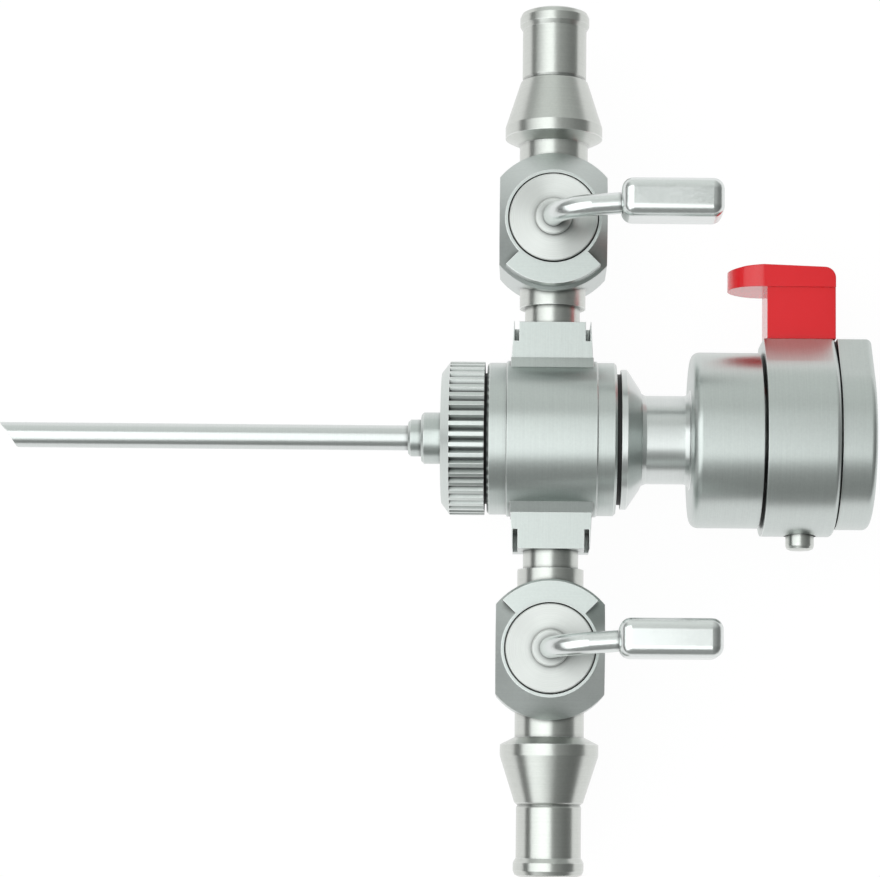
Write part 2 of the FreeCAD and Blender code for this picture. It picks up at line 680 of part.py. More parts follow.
def make_irrigation_drum():
    body = new_body("irrigation_drum")
    bore = d.journal_rad + d.running_gap
    step = d.drum_band_rad - d.drum_front_rad
    turn(body, "drum", "X", [
        (-d.drum_half, bore),
        (d.drum_half, bore),
        (d.drum_half, d.drum_rear_rad - d.drum_edge),
        (d.drum_half - d.drum_edge, d.drum_rear_rad),
        (d.drum_band_half + step / 2, d.drum_rear_rad),
        (d.drum_band_half, d.drum_band_rad),
        (-d.drum_band_half, d.drum_band_rad),
        (-d.drum_band_half - step / 2, d.drum_front_rad),
        (-d.drum_half + d.drum_edge, d.drum_front_rad),
        (-d.drum_half, d.drum_front_rad - d.drum_edge),
    ])
    root_y = d.drum_front_rad - 2
    step_y = d.boss_end_y - d.boss_step_len
    slot_y = d.boss_end_y + CUT_MARGIN
    sketch = sketch_on(body, "XY_Plane", "boss_outlines")
    for _, side in SIDES:
        draw_outline(sketch, [
            (-d.boss_root_half, side * root_y),
            (-d.boss_end_half, side * d.boss_end_y),
            (d.boss_end_half, side * d.boss_end_y),
            (d.boss_root_half, side * root_y),
        ])
    pad(body, "bosses", sketch, 2 * d.boss_depth_half, symmetric=True)
    foot = sketch_on(body, "YZ_Plane", "boss_feet")
    foot_z = d.boss_depth_half + d.boss_foot_rise
    for _, side in SIDES:
        draw_outline(foot, [
            (side * root_y, foot_z),
            (side * d.boss_foot_y, d.boss_depth_half),
            (side * d.boss_foot_y, -d.boss_depth_half),
            (side * root_y, -foot_z),
        ])
    pad(body, "feet", foot, 2 * d.boss_root_half, symmetric=True)
    slots = sketch_on(body, "XY_Plane", "slot_outlines", -d.boss_depth_half / 3)
    for _, side in SIDES:
        for hand in (1, -1):
            draw_outline(slots, [
                (hand * d.boss_step_half, side * step_y),
                (hand * (d.boss_step_half + d.boss_slot), side * step_y),
                (hand * (d.boss_step_half + d.boss_slot), side * slot_y),
                (hand * d.boss_step_half, side * slot_y),
            ])
    pocket(body, "side_slots", slots, 2 * d.boss_depth_half, back=True)
    groove(body, "chamber", "X", [
        (-d.chamber_half, d.journal_rad),
        (d.chamber_half, d.journal_rad),
        (d.chamber_half, d.chamber_rad),
        (-d.chamber_half, d.chamber_rad),
    ])
    drill(body, "ducts", "XZ_Plane", 0, 0, d.duct_rad, symmetric=True)
    for name, side in SIDES:
        drill(body, f"{name}_socket", "XZ_Plane", 0, 0, d.socket_rad,
              start=side * (d.boss_end_y - d.socket_len), toward=side, length=2 * d.socket_len)


def make_lock_housing():
    body = new_body("lock_housing")
    turn(body, "housing", "X", [
        (d.housing_x, d.core_spigot_rad),
        (NOSE_FRONT, d.core_spigot_rad),
        (NOSE_FRONT, d.scope_nose_rad),
        (NOSE_REAR, d.scope_nose_rad),
        (NOSE_REAR, d.scope_socket_rad),
        (BARREL_REAR, d.scope_socket_rad),
        (BARREL_REAR, d.barrel_rad),
        (HOUSING_REAR, d.barrel_rad),
        (HOUSING_REAR, d.housing_rad),
        (d.housing_x, d.housing_rad),
    ])
    edge = circular_edges(body.Tip.Shape, [(on_axis(d.housing_x), d.housing_rad)])
    soften(body, "front_rounding", "Fillet", edge, d.housing_round)
    latch_slot = sketch_on(body, "XY_Plane", "latch_slot_outline")
    slot_front = d.latch_x - d.face_gap
    slot_rear = d.latch_x + d.latch_thick + d.face_gap
    draw_outline(latch_slot, [
        (slot_front, d.latch_top_y),
        (slot_rear, d.latch_top_y),
        (slot_rear, -d.barrel_rad - CUT_MARGIN),
        (slot_front, -d.barrel_rad - CUT_MARGIN),
    ])
    pocket(body, "latch_slot", latch_slot, 3 * d.barrel_rad, symmetric=True)
    drill(body, "spring_seat", "XZ_Plane", d.guide_x, 0, d.pocket_rad,
          start=SPRING_SEAT, length=2 * d.spring_sink)
    drill(body, "guide_hole", "XZ_Plane", d.guide_x, 0, d.guide_rad,
          toward=-1, length=d.barrel_rad)
    drill(body, "index_hole", "XZ_Plane", d.index_x, 0, d.index_rad, length=d.barrel_rad)
    screw_depth = d.screw_len + d.screw_recess - d.cap_lip + d.face_gap
    for number in range(screw_count):
        y, z = screw_place(number)
        drill(body, f"screw_hole_{number + 1}", "YZ_Plane", y, z, d.screw_rad,
              start=BARREL_REAR, toward=-1, length=screw_depth)


def screw_place(number):
    """Middle of one cap screw."""
    angle = d.cap_screw_turn + FULL_TURN / d.cap_screws * number
    return d.screw_ring_rad * sine(angle), d.screw_ring_rad * cosine(angle)


def draw_crowned(sketch, radius, top, half):
    """Round outline with a flat top, joined by tangent straight sides. Sketch x is Y, y is Z."""
    corner = root(top * top + half * half)
    reach = root(corner * corner - radius * radius)
    # Touching point of the tangent from the corner (top, half) to the circle.
    along = radius * radius / (corner * corner)
    across = radius * reach / (corner * corner)
    touch_y = along * top - across * half
    touch_z = along * half + across * top
    lines = (
        ((touch_y, touch_z), (top, half)),
        ((top, half), (top, -half)),
        ((top, -half), (touch_y, -touch_z)),
    )
    for start, end in lines:
        draw_line(sketch, start, end)
    arc = draw_arc(sketch, (0, 0), radius, (touch_y, touch_z), (touch_y, -touch_z))
    join_ends(sketch, ((0, 2, 1, 1), (1, 2, 2, 1), (2, 2, arc, 2), (arc, 1, 0, 1)))
    place_point(sketch, 0, 1, touch_y, touch_z)
    place_point(sketch, 0, 2, top, half)
    place_point(sketch, 1, 2, top, -half)
    hold(sketch, "DistanceY", 2, 2, -touch_z)


def make_lock_ring():
    body = new_body("lock_ring", x=RING_FRONT)
    sketch = sketch_on(body, "YZ_Plane", "ring_outline")
    draw_crowned(sketch, d.ring_rad, d.ring_top_y, d.ring_top_half)
    pad(body, "ring", sketch, d.ring_len)
    soften(body, "top_rounding", "Fillet", top_corner_edges(body.Tip.Shape), d.crown_round)
    soften(body, "rear_rounding", "Fillet", flat_edges(body.Tip.Shape, d.ring_len), d.ring_edge)
    # The opening is longer than round, so that the ring can move down across the barrel.
    opening = sketch_on(body, "YZ_Plane", "opening_outline")
    high = d.press_travel
    low = as_size(0)
    top_arc = draw_arc(opening, (high, 0), SLOT_RAD, (high, -SLOT_RAD), (high, SLOT_RAD))
    low_arc = draw_arc(opening, (0, 0), SLOT_RAD, (0, SLOT_RAD), (0, -SLOT_RAD))
    side_a = draw_line(opening, (high, SLOT_RAD), (low, SLOT_RAD))
    side_b = draw_line(opening, (low, -SLOT_RAD), (high, -SLOT_RAD))
    join_ends(opening, ((top_arc, 2, side_a, 1), (side_a, 2, low_arc, 1),
                        (low_arc, 2, side_b, 1), (side_b, 2, top_arc, 1)), kind="Tangent")
    index = opening.addConstraint(Sketcher.Constraint("Radius", top_arc, SLOT_RAD.value))
    opening.setExpression(f"Constraints[{index}]", SLOT_RAD.formula)
    pocket(body, "opening", opening, back=True)
    local_guide = d.guide_x - RING_FRONT
    drill(body, "guide_passage", "XZ_Plane", local_guide, 0, d.guide_rad + d.guide_gap,
          toward=-1)
    drill(body, "spring_pocket", "XZ_Plane", local_guide, 0, d.pocket_rad,
          length=d.pocket_roof_y)
    # Seat of the latch plate in the lower half of the rear face.
    seat = sketch_on(body, "YZ_Plane", "latch_seat_outline", d.latch_x - RING_FRONT)
    draw_circle(seat, 0, 0, d.latch_rad)
    pocket(body, "latch_seat", seat, d.ring_len, back=True)
    for name, place in (("front", d.screw_front_x), ("rear", d.screw_rear_x)):
        drill(body, f"{name}_screw_hole", "XZ_Plane", place - RING_FRONT, 0, d.screw_rad,
              length=2 * d.ring_top_y)


def make_latch_plate():
    body = new_body("latch_plate", x=d.latch_x)
    sketch = sketch_on(body, "YZ_Plane", "latch_outline")
    draw_circle(sketch, 0, 0, d.latch_rad)
    pad(body, "plate", sketch, d.latch_thick)
    mouth = sketch_on(body, "YZ_Plane", "mouth_outline")
    draw_circle(mouth, d.latch_bite, 0, d.scope_socket_rad + 2 * d.running_gap)
    pocket(body, "mouth", mouth, back=True)
    # Everything above the crescent is cut away, wide enough to clear the barrel.
    clear = sketch_on(body, "YZ_Plane", "clearance_outline")
    low = d.latch_top_y - d.face_gap
    draw_outline(clear, [
        (low, -2 * d.latch_rad),
        (2 * d.latch_rad, -2 * d.latch_rad),
        (2 * d.latch_rad, 2 * d.latch_rad),
        (low, 2 * d.latch_rad),
    ])
    pocket(body, "clearance", clear, back=True)


def make_rear_cap():
    body = new_body("rear_cap", x=CAP_FRONT)
    sketch = sketch_on(body, "YZ_Plane", "cap_outline")
    draw_crowned(sketch, d.cap_rad, d.ring_top_y, d.ring_top_half)
    pad(body, "cap", sketch, d.cap_len)
    soften(body, "top_rounding", "Fillet", top_corner_edges(body.Tip.Shape), d.crown_round)
    soften(body, "rear_rounding", "Fillet", flat_edges(body.Tip.Shape, d.cap_len), d.cap_round)
    drill(body, "barrel_bore", "YZ_Plane", 0, 0, d.barrel_rad, length=d.cap_len - d.cap_lip)
    drill(body, "mouth", "YZ_Plane", 0, 0, d.cap_mouth_rad)
    for number in range(screw_count):
        y, z = screw_place(number)
        drill(body, f"screw_hole_{number + 1}", "YZ_Plane", y, z, d.screw_rad)
        drill(body, f"head_recess_{number + 1}", "YZ_Plane", y, z, d.screw_head_rad,
              start=d.cap_len, toward=-1, length=d.screw_recess)


def cap_screw_solid():
    """Slotted cheese-head screw, its head's seat at zero."""
    head_radius = (d.screw_head_rad - d.screw_gap).value
    head_length = (d.screw_recess - d.running_gap).value
    slot_width = d.screw_slot_width.value
    slot_depth = d.screw_slot_depth.value
    shank_length = d.screw_len.value
    head = Part.makeCylinder(head_radius, head_length)
    slot = Part.makeBox(2 * head_radius, slot_width, slot_depth + CUT_MARGIN)
    slot.translate(Vector(-head_radius, -slot_width / 2, head_length - slot_depth))
    shank_radius = (d.screw_rad - d.screw_gap).value
    shank = Part.makeCylinder(shank_radius, shank_length, Vector(0, 0, -shank_length))
    return head.cut(slot).fuse(shank)


def make_cap_screws():
    """Three slotted screws through the cap into the barrel's rear end."""
    seat = (CAP_REAR - d.screw_recess).value
    screw = cap_screw_solid()
    screw.rotate(Vector(), Vector(0, 1, 0), 90)
    solids = []
    for number in range(screw_count):
        y, z = screw_place(number)
        copy = screw.copy()
        copy.translate(Vector(0, y.value, z.value))
        solids.append(copy)
    feature = doc.addObject("Part::Feature", "cap_screws")
    feature.Label = "cap_screws"
    feature.Shape = Part.makeCompound(solids)
    feature.Placement = FreeCAD.Placement(Vector(seat, 0, 0), FreeCAD.Rotation())
    pieces.append(feature)


def make_button_screws():
    """Two headless screws that hold the button on the ring."""
    foot = SLOT_RAD + d.press_travel + d.button_screw_sink
    screw = Part.makeCylinder(d.screw_rad.value, (d.screw_top_y - foot).value)
    solids = []
    for place in (d.screw_front_x, d.screw_rear_x):
        copy = screw.copy()
        copy.rotate(Vector(), Vector(1, 0, 0), -90)
        copy.translate(Vector(place.value, 0, 0))
        solids.append(copy)
    feature = doc.addObject("Part::Feature", "button_screws")
    feature.Label = "button_screws"
    feature.Shape = Part.makeCompound(solids)
    feature.Placement = FreeCAD.Placement(Vector(0, foot.value, 0), FreeCAD.Rotation())
    pieces.append(feature)


def make_release_button():
    body = new_body("release_button")
    stem_top_y = (d.button_under_y + d.button_rear_top_y) / 2
    stem = sketch_on(body, "XY_Plane", "stem_outline")
    draw_outline(stem, [
        (d.button_stem_x, d.ring_top_y),
        (d.button_rear_x, d.ring_top_y),
        (d.button_rear_x, stem_top_y),
        (d.button_stem_x, stem_top_y),
    ])
    pad(body, "stem", stem, 2 * d.stem_half, symmetric=True)
    outline = sketch_on(body, "XY_Plane", "pad_outline")
    crest_x = d.button_tip_x + d.button_half
    shoulder_x = d.button_tip_x + d.button_half / 2
    draw_outline(outline, [
        (d.button_tip_x, d.button_tip_low_y),
        (d.button_stem_x, d.button_under_y),
        (d.button_rear_x, d.button_under_y),
        (d.button_rear_x, d.button_rear_top_y),
        (crest_x, d.button_top_y),
        (shoulder_x, d.button_shoulder_y),
        (d.button_tip_x, d.button_tip_top_y),
    ])
    pad(body, "thumb_pad", outline, 2 * d.button_half, symmetric=True)
    # The tip is half-round when seen from above.
    nose = sketch_on(body, "XZ_Plane", "nose_outline")
    nose_x = d.button_tip_x + d.button_half
    arc = draw_arc(nose, (nose_x, 0), d.button_half,
                   (nose_x, d.button_half), (nose_x, -d.button_half))
    outer = d.button_half + CUT_MARGIN
    front = d.button_tip_x - CUT_MARGIN
    points = ((nose_x, -d.button_half), (nose_x, -outer), (front, -outer),
              (front, outer), (nose_x, outer), (nose_x, d.button_half))
    lines = [draw_line(nose, begin, finish) for begin, finish in zip(points, points[1:])]
    first, last = lines[0], lines[-1]
    join_ends(nose, [(line, 2, line + 1, 1) for line in lines[:-1]])
    join_ends(nose, ((last, 2, arc, 1), (arc, 2, first, 1)))
    hold(nose, "DistanceX", first, 1, nose_x)
    for line, (x, y) in zip(lines[1:], points[1:]):
        place_point(nose, line, 1, x, y)
    place_point(nose, last, 2, nose_x, d.button_half)
    pocket(body, "nose", nose, symmetric=True)
    rear_top = []
    for number, edge in enumerate(body.Shape.Edges, start=1):
        middle = edge.CenterOfMass
        at_rear = abs(middle.x - d.button_rear_x.value) < 1e-3
        at_top = abs(middle.y - d.button_rear_top_y.value) < 1e-3
        if at_rear and at_top:
            rear_top.append(f"Edge{number}")
    soften(body, "rear_corner", "Fillet", rear_top, d.button_round)
    for name, place in (("front", d.screw_front_x), ("rear", d.screw_rear_x)):
        drill(body, f"{name}_screw_hole", "XZ_Plane", place, 0, d.screw_rad,
              length=d.screw_top_y)


def make_release_spring():
    """Compression spring between the barrel and the roof of the ring's pocket."""
    radius = d.spring_rad.value
    wire = d.spring_wire_rad.value
    gap = wire + d.running_gap.value
    height = (d.pocket_roof_y - SPRING_SEAT).value - 2 * gap
    helix = Part.makeHelix(height / d.spring_turns.value, height, radius)
    corners = [Vector(radius + wire * math.cos(math.radians(60 * number)), 0,
                      wire * math.sin(math.radians(60 * number))) for number in range(7)]
    section = Part.makePolygon(corners)
    spring = Part.Wire(helix.Edges).makePipeShell([section], True, True)
    feature = doc.addObject("Part::Feature", "release_spring")
    feature.Label = "release_spring"
    feature.Shape = spring
    seat = SPRING_SEAT.value + gap
    upright = FreeCAD.Rotation(Vector(1, 0, 0), -90)
    feature.Placement = FreeCAD.Placement(Vector(d.guide_x.value, seat, 0), upright)
    pieces.append(feature)


def make_guide_pin():
    body = new_body("guide_pin", x=d.guide_x)
    tip = d.guide_end_y
    near = ROUND_MIDDLE * d.guide_round
    turn(body, "pin", "Y", [
        (d.guide_foot_y, 0),
        (d.guide_foot_y, d.guide_rad),
        (tip + d.guide_round, d.guide_rad),
        (tip + near, d.guide_rad - near),
        (tip, d.guide_rad - d.guide_round),
        (tip, 0),
    ])


def make_index_pin():
    body = new_body("index_pin", x=d.index_x)
    inner = d.scope_socket_rad - d.index_reach
    outer = d.barrel_rad - d.running_gap
    turn(body, "pin", "Y", [
        (inner, 0),
        (inner, d.index_rad),
        (outer, d.index_rad),
        (outer, 0),
    ])


def make_scope_seals():
    body = new_body("telescope_seal")
    wide = d.scope_seal_rad + d.seal_flare
    third = d.seal_pocket_len / 3
    turn(body, "seal", "X", [
        (CORE_REAR, wide),
        (CORE_REAR + third, d.scope_seal_rad),
        (SEAL_REAR - third, d.scope_seal_rad),
        (SEAL_REAR, wide),
        (SEAL_REAR, d.core_spigot_rad),
        (CORE_REAR, d.core_spigot_rad),
    ])
    make_washer("seal_retainer", SEAL_REAR, d.retainer_thick, wide, d.core_spigot_rad)


def make_spigot(name, side):
    body = new_body(f"spigot_{name}")
    turn(body, "spigot", "Y", [
        (side * (d.boss_end_y - d.socket_len), d.duct_rad),
        (side * VALVE_SOCKET, d.duct_rad),
        (side * VALVE_SOCKET, d.collar_rad),
        (side * d.collar_y, d.collar_rad),
        (side * d.collar_y, d.spigot_neck_rad),
        (side * d.boss_end_y, d.spigot_neck_rad),
        (side * d.boss_end_y, d.socket_rad),
        (side * (d.boss_end_y - d.socket_len), d.socket_rad),
    ])


def make_valve_body(name, side):
    body = new_body(f"valve_body_{name}", y=side * d.valve_y)
    turn(body, "body", "Z", [
        (d.valve_back_z, d.plug_low_rad + d.running_gap),
        (d.recess_z, d.plug_top_rad + d.running_gap),
        (d.recess_z, d.recess_rad),
        (d.valve_face_z, d.recess_rad),
        (d.valve_face_z, d.valve_cone_rad),
        (d.valve_shoulder_z, d.valve_rad),
        (d.valve_back_z + d.valve_edge, d.valve_rad),
        (d.valve_back_z, d.valve_rad - d.valve_edge),
    ])
    sector = sketch_on(body, "XY_Plane", "sector_outline")
    draw_sector(sector, side)
    pad(body, "stop_sector", sector, d.valve_face_z)
    flats = sketch_on(body, "XY_Plane", "flat_outlines")
    for hand in (1, -1):
        draw_outline(flats, [
            (hand * d.valve_flat, -2 * d.valve_rad),
            (hand * 2 * d.valve_rad, -2 * d.valve_rad),
            (hand * 2 * d.valve_rad, 2 * d.valve_rad),
            (hand * d.valve_flat, 2 * d.valve_rad),
        ])
    pocket(body, "side_flats", flats, symmetric=True)
    drill(body, "duct", "XZ_Plane", 0, 0, d.duct_rad, symmetric=True)
    # The sheath side takes the spigot's collar, the far side the hose connector's neck.
    drill(body, "spigot_socket", "XZ_Plane", 0, 0, d.collar_rad,
          start=-side * d.valve_bore_deep, toward=-side, length=d.valve_rad)
    drill(body, "connector_socket", "XZ_Plane", 0, 0, d.barb_neck_rad,
          start=side * d.valve_bore_deep, toward=side, length=d.valve_rad)
    stop_x, stop_y = stop_pin_place(side)
    drill(body, "stop_hole", "XY_Plane", stop_x, stop_y, d.stop_pin_rad,
          start=d.recess_z, toward=-1, length=d.stop_pin_sink)


def draw_sector(sketch, side):
    """Ring sector on the sheath side of the valve axis, out to the body's rim."""
    half = d.sector_half_angle
    inner, outer = d.recess_rad, d.sector_rad
    across, along = sine(half), cosine(half)
    left, right = (-1, 1) if side > 0 else (1, -1)
    corners = (
        (left * inner * across, -side * inner * along),
        (left * outer * across, -side * outer * along),
        (right * outer * across, -side * outer * along),
        (right * inner * across, -side * inner * along),
    )
    outer_arc = draw_arc(sketch, (0, 0), outer, corners[1], corners[2])
    inner_arc = draw_arc(sketch, (0, 0), inner, corners[0], corners[3])
    line_a = draw_line(sketch, corners[0], corners[1])
    line_b = draw_line(sketch, corners[2], corners[3])
    join_ends(sketch, ((line_a, 2, outer_arc, 1), (outer_arc, 2, line_b, 1),
                       (line_b, 2, inner_arc, 2), (inner_arc, 1, line_a, 1)))
    place_point(sketch, line_a, 1, *corners[0])
    place_point(sketch, line_a, 2, *corners[1])
    hold(sketch, "DistanceX", line_b, 1, corners[2][0])
    hold(sketch, "DistanceX", line_b, 2, corners[3][0])


def stop_pin_place(side):
    """The stop pin stands at the tip end of the stop sector."""
    half = d.sector_half_angle
    return -d.stop_ring_rad * sine(half), -side * d.stop_ring_rad * cosine(half)


def make_stop_pin(name, side):
    stop_x, stop_y = stop_pin_place(side)
    body = new_body(f"stop_pin_{name}", x=stop_x, y=side * d.valve_y + stop_y)
    sketch = sketch_on(body, "XY_Plane", "pin_circle", d.recess_z - d.stop_pin_sink)
    draw_circle(sketch, 0, 0, d.stop_pin_rad)
    reach = d.disc_gap + d.stop_notch_depth - 2 * d.running_gap
    pad(body, "pin", sketch, d.stop_pin_sink + reach)


def make_valve_plug(name, side):
    body = new_body(f"valve_plug_{name}", y=side * d.valve_y)
    disc_low = d.recess_z + d.disc_gap
    back = d.valve_back_z
    plug_back = back + 2 * d.running_gap
    root_top = d.disc_face_z + d.root_len
    foot = d.disc_face_z - d.lever_sink
    turn(body, "plug", "Z", [
        (back - d.stud_len, 0),
        (back - d.stud_len, d.stud_rad),
        (plug_back, d.stud_rad),
        (plug_back, d.plug_low_rad),
        (disc_low, d.plug_top_rad),
        (disc_low, d.disc_rad),
        (d.disc_face_z - d.disc_edge, d.disc_rad),
        (d.disc_face_z, d.disc_rad - d.disc_edge),
        (d.disc_face_z, d.root_rad),
        (root_top - d.root_edge, d.root_rad),
        (root_top, d.root_rad - d.root_edge),
        (root_top, d.lever_rad),
        (foot, d.lever_rad),
        (foot, 0),
    ])
    # Closed at rest: the cross bore lies along the lever, square to the flow.
    drill(body, "cross_bore", "YZ_Plane", 0, 0, d.duct_rad, symmetric=True)
    # Notch under the disc, a quarter turn long, that runs past the stop pin.
    notch = sketch_on(body, "XY_Plane", "notch_outline", disc_low)
    draw_notch(notch)
    pocket(body, "stop_notch", notch, d.stop_notch_depth, back=True)


def draw_notch(sketch):
    """Ring sector for the stop pin: from the pin a quarter turn against the opening direction."""
    first = FULL_TURN / 2 - d.sector_half_angle - d.notch_margin
    last = FULL_TURN / 2 + d.sector_half_angle + d.notch_margin
    inner = d.stop_ring_rad - d.stop_pin_rad - 2 * d.running_gap
    outer = d.disc_rad + d.face_gap
    corners = []
    for radius in (inner, outer):
        for angle in (first, last):
            corners.append((radius * cosine(angle), radius * sine(angle)))
    inner_arc = draw_arc(sketch, (0, 0), inner, corners[0], corners[1])
    outer_arc = draw_arc(sketch, (0, 0), outer, corners[2], corners[3])
    line_a = draw_line(sketch, corners[0], corners[2])
    line_b = draw_line(sketch, corners[1], corners[3])
    join_ends(sketch, ((inner_arc, 1, line_a, 1), (line_a, 2, outer_arc, 1),
                       (inner_arc, 2, line_b, 1), (line_b, 2, outer_arc, 2)))
    place_point(sketch, line_a, 1, *corners[0])
    place_point(sketch, line_a, 2, *corners[2])
    hold(sketch, "DistanceY", line_b, 1, corners[1][1])
    hold(sketch, "DistanceY", line_b, 2, corners[3][1])


def make_lever_rod(name, side):
    body = new_body(f"lever_rod_{name}", y=side * d.valve_y)
    foot = d.disc_face_z - d.lever_sink
    section = sketch_on(body, "XY_Plane", "rod_circle", foot)
    draw_circle(section, 0, 0, d.lever_rad)
    spine = sketch_on(body, "XZ_Plane", "rod_path")
    bend_start = d.lever_z - d.lever_bend
    low = as_size(0)
    post = draw_line(spine, (low, foot), (low, bend_start))
    arc = draw_arc(spine, (d.lever_bend, bend_start), d.lever_bend,
                   (d.lever_bend, d.lever_z), (0, bend_start))
    arm = draw_line(spine, (d.lever_bend, d.lever_z), (d.grip_start, d.lever_z))
    join_ends(spine, ((post, 2, arc, 2), (arc, 1, arm, 1)))
    place_point(spine, post, 1, low, foot)
    place_point(spine, post, 2, low, bend_start)
    hold(spine, "DistanceX", arc, 1, d.lever_bend)
    place_point(spine, arm, 2, d.grip_start, d.lever_z)
    pipe = body.newObject("PartDesign::AdditivePipe", "rod")
    pipe.Profile = section
    pipe.Spine = (spine, ["Edge1", "Edge2", "Edge3"])
    body.setExpression("Placement.Rotation.Angle", f"{d.lever_angle.formula} * 1 deg")
    doc.recompute()


def make_lever_grip(name, side):
    body = new_body(f"lever_grip_{name}", y=side * d.valve_y + d.grip_offset, z=d.lever_z)
    section = sketch_on(body, "YZ_Plane", "grip_outline", d.grip_start)
    tall, deep = d.grip_tall / 2, d.grip_deep / 2
    draw_outline(section, [(-tall, -deep), (tall, -deep), (tall, deep), (-tall, deep)])
    pad(body, "grip", section, d.grip_len)
    names = [f"Edge{number + 1}" for number in range(len(body.Shape.Edges))]
    soften(body, "rounding", "Fillet", names, d.grip_round)


def make_valve_washer(name, side):
    body = new_body(f"spring_washer_{name}", y=side * d.valve_y)
    top = d.valve_back_z - d.running_gap
    turn(body, "washer", "Z", [
        (top, d.cup_rad - d.cup_rim),
        (top, d.cup_rad + d.cup_rim),
        (top - d.cup_len, d.stud_rad + d.cup_rim),
        (top - d.cup_len, d.stud_rad),
    ])


def make_valve_nut(name, side):
    body = new_body(f"valve_nut_{name}", y=side * d.valve_y)
    top = d.valve_back_z - d.running_gap - d.cup_len
    turn(body, "nut", "Z", [
        (top, d.stud_rad),
        (top, d.nut_back_rad),
        (top - d.nut_back_len + d.nut_back_edge, d.nut_back_rad),
        (top - d.nut_back_len, d.nut_back_rad - d.nut_back_edge),
        (top - d.nut_back_len, d.stud_rad),
    ])


def make_hose_connector(name, side):
    body = new_body(f"hose_connector_{name}")
    near = ROUND_MIDDLE * d.barb_bead_round
    corners = [
        (d.valve_y + d.valve_bore_deep, d.duct_rad),
        (d.barb_bore_y, d.duct_rad),
        (d.barb_bore_y, d.barb_bore_rad),
        (d.barb_end_y, d.barb_bore_rad),
        (d.barb_end_y, d.barb_bead_rad - d.barb_bead_round),
        (d.barb_end_y - near, d.barb_bead_rad - near),
        (d.barb_end_y - d.barb_bead_round, d.barb_bead_rad),
        (d.barb_bead_y + d.barb_bead_rise, d.barb_bead_rad),
        (d.barb_bead_y, d.barb_rad),
        (d.barb_cone_y + 2 * d.barb_groove, d.barb_rad),
        (d.barb_cone_y + d.barb_groove, d.barb_rad - d.barb_groove / 2),
        (d.barb_cone_y, d.barb_cone_rad),
        (d.barb_flange_y + d.barb_chamfer + d.barb_flange_len, d.barb_flange_rad),
        (d.barb_flange_y + d.barb_chamfer, d.barb_flange_rad),
        (d.barb_flange_y, d.barb_neck_rad),
        (d.valve_y + d.valve_bore_deep, d.barb_neck_rad),
    ]
    turn(body, "connector", "Y", [(side * along, radius) for along, radius in corners])


def make_all():
    make_sheath_tube()
    make_tube_hub()
    make_core_sleeve()
    make_drum_seal("drum_seal_front", -d.seal_x)
    make_drum_seal("drum_seal_rear", d.seal_x)
    make_fluted_nut()
    make_washer("nut_washer", NUT_REAR, d.nut_washer_thick, d.journal_rad + d.running_gap,
                d.washer_rad)
    thrust_front = d.drum_half + d.running_gap
    make_washer("thrust_washer", thrust_front, d.flange_front_x - thrust_front,
                d.journal_rad + d.running_gap, d.washer_rad)
    make_irrigation_drum()
    make_lock_housing()
    make_lock_ring()
    make_latch_plate()
    make_rear_cap()
    make_cap_screws()
    make_release_button()
    make_button_screws()
    make_release_spring()
    make_guide_pin()
    make_index_pin()
    make_scope_seals()
    for name, side in SIDES:
        make_spigot(name, side)
        make_valve_body(name, side)
        make_valve_plug(name, side)
        make_stop_pin(name, side)
        make_lever_rod(name, side)
        make_lever_grip(name, side)
        make_valve_washer(name, side)
        make_valve_nut(name, side)
        make_hose_connector(name, side)


def check_model():
    doc.recompute()
    for item in doc.Objects:
        if "Invalid" in item.State or "Error" in item.State:
            raise RuntimeError(f"{item.Label} failed: {item.State}")
    for piece in pieces:
        if piece.Shape.isNull() or not piece.Shape.isValid():
            raise RuntimeError(f"{piece.Label} has no valid shape")


def export_pieces():
    os.makedirs("parts", exist_ok=True)
    for piece in pieces:
        piece.Shape.exportStep(f"parts/{piece.Label}.step")
    print(f"{len(pieces)} pieces written")


make_all()
check_model()
export_pieces()
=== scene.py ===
import math

import bpy
from mathutils import Matrix, Vector


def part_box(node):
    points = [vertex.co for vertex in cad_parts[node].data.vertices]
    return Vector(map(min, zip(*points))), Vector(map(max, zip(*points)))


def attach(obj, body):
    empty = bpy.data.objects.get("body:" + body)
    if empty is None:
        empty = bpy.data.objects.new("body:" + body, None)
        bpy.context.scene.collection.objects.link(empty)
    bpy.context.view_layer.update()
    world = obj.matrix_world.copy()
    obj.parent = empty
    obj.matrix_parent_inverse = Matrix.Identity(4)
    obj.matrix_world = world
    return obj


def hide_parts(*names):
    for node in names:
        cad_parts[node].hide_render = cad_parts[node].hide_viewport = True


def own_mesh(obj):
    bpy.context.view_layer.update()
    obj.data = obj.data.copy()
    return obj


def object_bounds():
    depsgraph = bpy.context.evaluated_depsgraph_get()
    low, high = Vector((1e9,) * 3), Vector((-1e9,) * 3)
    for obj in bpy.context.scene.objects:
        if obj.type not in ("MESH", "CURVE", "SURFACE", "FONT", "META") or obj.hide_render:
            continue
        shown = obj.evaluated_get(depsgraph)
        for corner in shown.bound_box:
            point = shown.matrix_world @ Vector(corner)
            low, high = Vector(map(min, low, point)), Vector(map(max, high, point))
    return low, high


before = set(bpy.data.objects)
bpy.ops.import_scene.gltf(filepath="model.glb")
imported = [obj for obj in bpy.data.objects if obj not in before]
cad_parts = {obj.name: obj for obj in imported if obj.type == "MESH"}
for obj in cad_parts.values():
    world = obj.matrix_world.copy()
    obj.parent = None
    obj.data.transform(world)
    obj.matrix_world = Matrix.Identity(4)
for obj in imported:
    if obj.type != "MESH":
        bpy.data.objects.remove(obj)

cad_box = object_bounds()

MM = 0.001
# Where the two valves stand to either side of the sheath's axis.
VALVE_Y = 32.2 * MM
SIDES = (("upper", 1), ("lower", -1))
